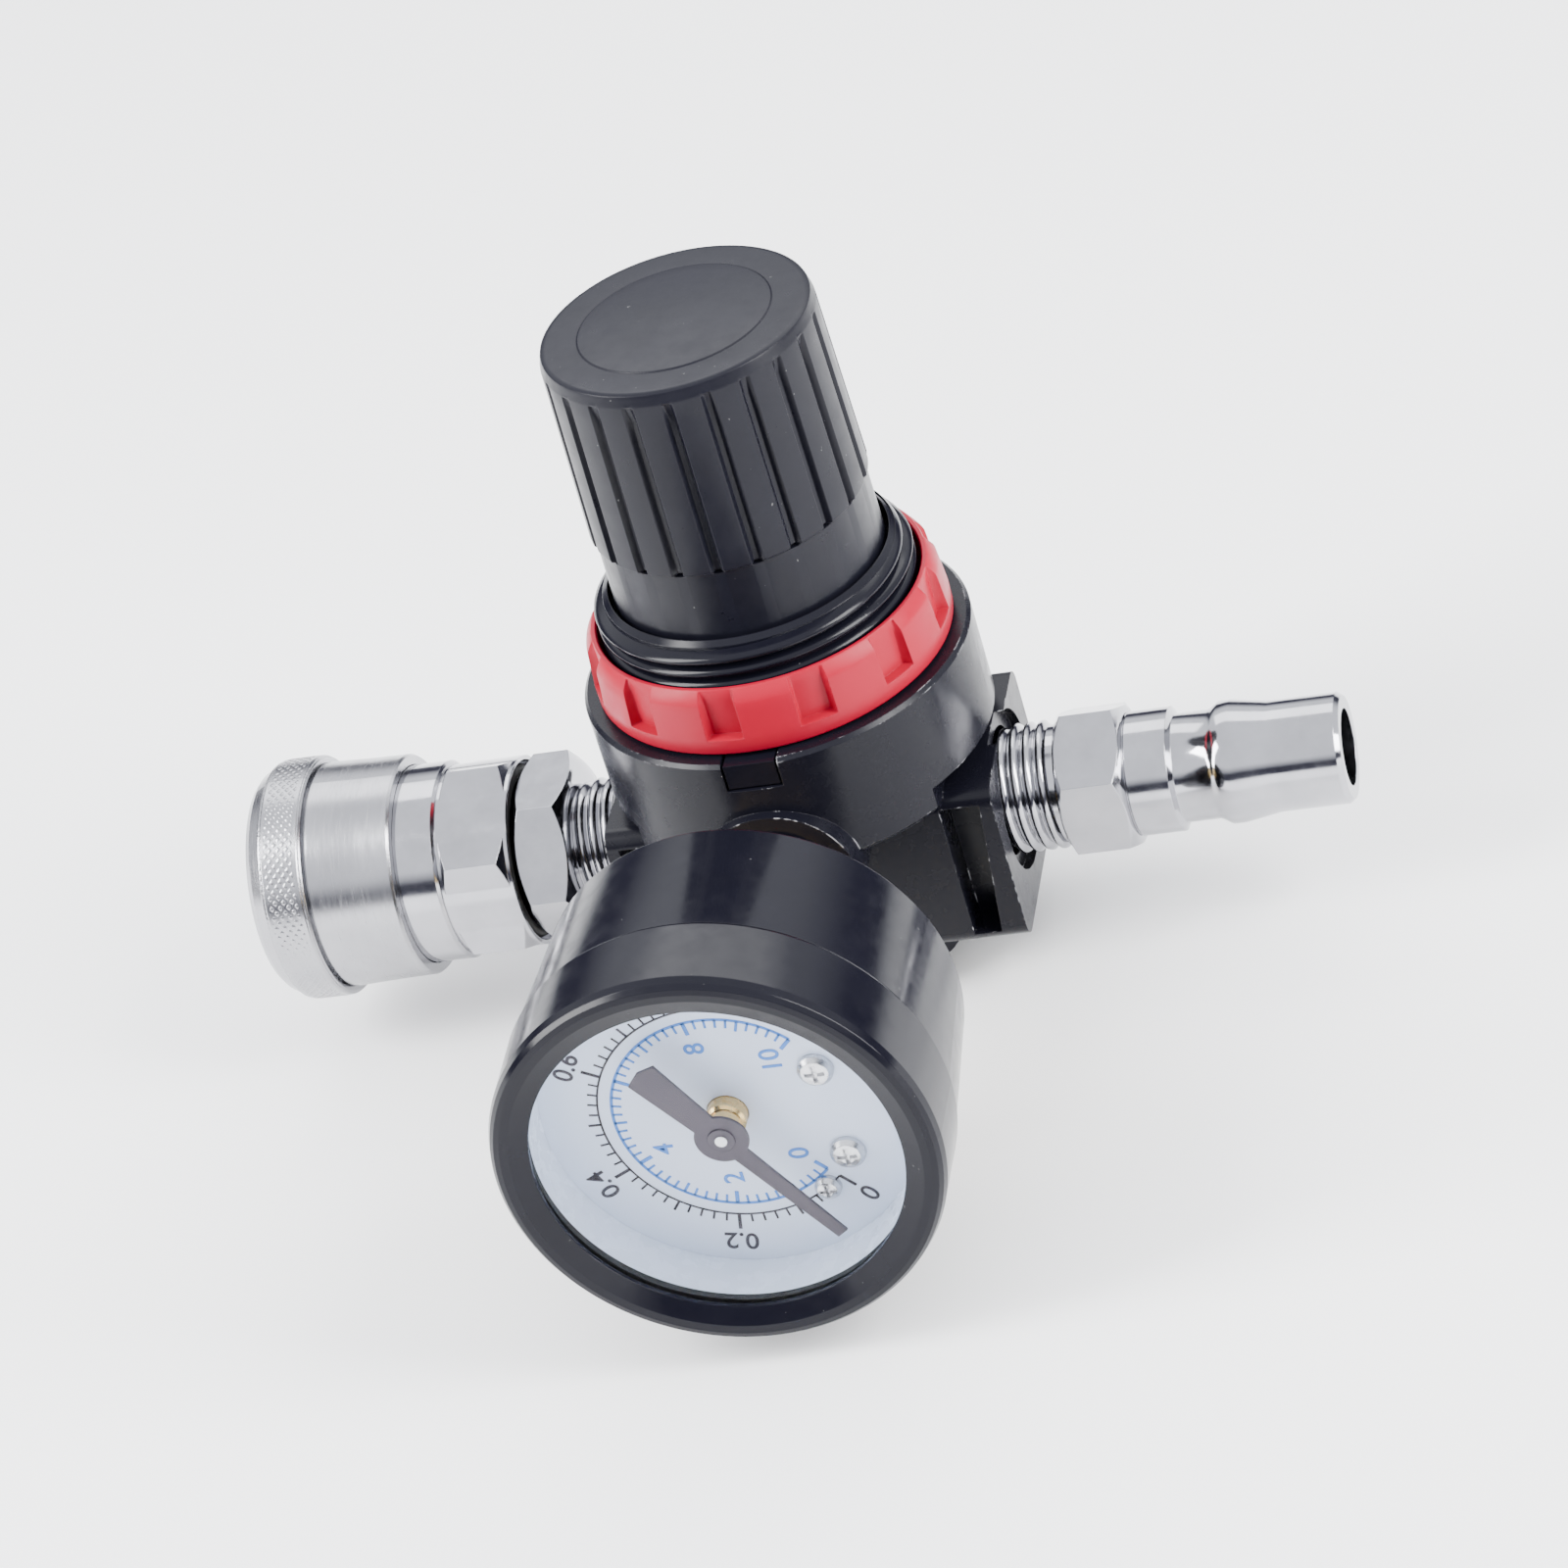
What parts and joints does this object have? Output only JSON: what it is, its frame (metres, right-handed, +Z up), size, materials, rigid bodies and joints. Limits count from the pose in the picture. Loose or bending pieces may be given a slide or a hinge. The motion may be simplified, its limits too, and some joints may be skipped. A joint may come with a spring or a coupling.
{
  "type": "carbon dioxide regulator",
  "caption": "Carbon dioxide pressure regulator with a locking knob, a dial gauge in front, a male plug on one side and a female quick-connect socket on the other.",
  "frame": {"origin": "centre of the bottom cap's face, on the knob axis", "axes": "+Z up the knob axis, +X along the ports towards the male plug, gauge facing -Y"},
  "size_m": [0.1129, 0.0853, 0.0772],
  "materials": {
    "painted_casting": "satin, slightly worn",
    "black_resin": "gloss",
    "knob_resin": "satin",
    "red_resin": "satin",
    "cap_resin": "satin",
    "nickel": "bright nickel plate",
    "brushed_nickel": "turned and brushed",
    "steel": "bright steel",
    "spring_steel": "wire",
    "brass": "machined",
    "rubber": "matt",
    "clear_window": "clear",
    "white_ring": "satin white",
    "dial_white": "matt white print ground",
    "pointer_paint": "satin"
  },
  "bodies": {
    "regulator_body": {"body_casting": "painted_casting", "bottom_cap": "cap_resin", "bottom_cap_o_ring": "rubber", "rear_port_plug": "nickel", "bonnet": "black_resin", "setting_spring": "spring_steel", "diaphragm": "rubber", "valve_spring": "spring_steel", "gauge_stem": "brass", "gauge_case": "black_resin", "gauge_bezel": "black_resin", "gauge_window": "clear_window", "window_gasket": "rubber", "dial_ring": "white_ring", "dial_plate": "dial_white", "dial_screws": "steel", "shaft_bushing": "brass", "movement_rear_plate": "brass", "movement_front_plate": "brass", "movement_posts": "brass", "hairspring": "spring_steel", "bourdon_tube": "brass", "tube_tip": "brass", "inlet_plug": "nickel", "socket_adapter": "nickel", "adapter_o_ring": "rubber", "socket_body": "nickel", "lock_balls": "steel", "sleeve_ring": "spring_steel", "sleeve_spring": "spring_steel", "shutoff_spring": "spring_steel", "packing_ring": "rubber"},
    "panel_nut": {"panel_nut": "red_resin"},
    "adjusting_screw": {"adjusting_screw": "steel"},
    "knob": {"knob": "knob_resin"},
    "adjusting_nut": {"adjusting_nut": "brass"},
    "diaphragm_plate": {"diaphragm_plate": "steel"},
    "valve": {"valve_stem": "steel", "valve_poppet": "brass", "valve_seat_rubber": "rubber"},
    "pointer": {"pointer": "pointer_paint", "pointer_shaft": "steel"},
    "sector": {"sector_gear": "brass", "sector_shaft": "steel"},
    "link": {"sector_link": "brass"},
    "socket_sleeve": {"socket_sleeve": "brushed_nickel"},
    "shutoff_valve": {"shutoff_valve": "brass", "shutoff_o_ring": "rubber"}
  },
  "joints": [
    {"name": "panel_nut_turn", "type": "hinge", "parent": "regulator_body", "child": "panel_nut", "pos_m": [0, 0, 0.041], "axis": [0, 0, 1], "range_deg": [0, 360]},
    {"name": "knob_turn", "type": "hinge", "parent": "regulator_body", "child": "adjusting_screw", "pos_m": [0, 0, 0.057], "axis": [0, 0, 1], "range_deg": [-1801, 0]},
    {"name": "knob_lock", "type": "slide", "parent": "adjusting_screw", "child": "knob", "axis": [0, 0, 1], "range_m": [-0.0025, 0]},
    {"name": "spring_setting", "type": "slide", "parent": "regulator_body", "child": "adjusting_nut", "axis": [0, 0, -1], "range_m": [0, 0.00625], "deforming": ["setting_spring"]},
    {"name": "diaphragm_travel", "type": "slide", "parent": "regulator_body", "child": "diaphragm_plate", "axis": [0, 0, -1], "range_m": [0, 0.00061], "deforming": ["diaphragm"]},
    {"name": "valve_travel", "type": "slide", "parent": "regulator_body", "child": "valve", "axis": [0, 0, -1], "range_m": [0, 0.00061], "deforming": ["valve_spring"]},
    {"name": "pointer_turn", "type": "hinge", "parent": "regulator_body", "child": "pointer", "pos_m": [0, -0.055, 0.0239], "axis": [0, 1, 0], "range_deg": [-10, 260], "stiffness_Nm_per_rad": 0.00002, "deforming": ["hairspring"]},
    {"name": "sector_turn", "type": "hinge", "parent": "regulator_body", "child": "sector", "pos_m": [-0.00779, -0.0498, 0.0284], "axis": [0, 1, 0], "range_deg": [-52.01, 2.01]},
    {"name": "link_turn", "type": "hinge", "parent": "sector", "child": "link", "pos_m": [-0.0097, -0.0515, 0.03134], "axis": [0, 1, 0], "range_deg": [-2.01, 52.01]},
    {"name": "sleeve_slide", "type": "slide", "parent": "regulator_body", "child": "socket_sleeve", "axis": [1, 0, 0], "range_m": [0, 0.004], "stiffness_N_per_m": 1500, "springref_m": -0.003, "deforming": ["sleeve_spring"]},
    {"name": "shutoff_slide", "type": "slide", "parent": "regulator_body", "child": "shutoff_valve", "axis": [1, 0, 0], "range_m": [0, 0.0035], "stiffness_N_per_m": 900, "springref_m": -0.002, "deforming": ["shutoff_spring"]}
  ],
  "couplings": [
    {"joint": "knob_turn", "follows": "spring_setting", "rad_per_m": -5026.5},
    {"joint": "diaphragm_travel", "follows": "spring_setting", "ratio": 0.096},
    {"joint": "valve_travel", "follows": "spring_setting", "ratio": 0.096},
    {"joint": "sector_turn", "follows": "pointer_turn", "ratio": -0.2},
    {"joint": "link_turn", "follows": "pointer_turn", "ratio": 0.2}
  ]
}
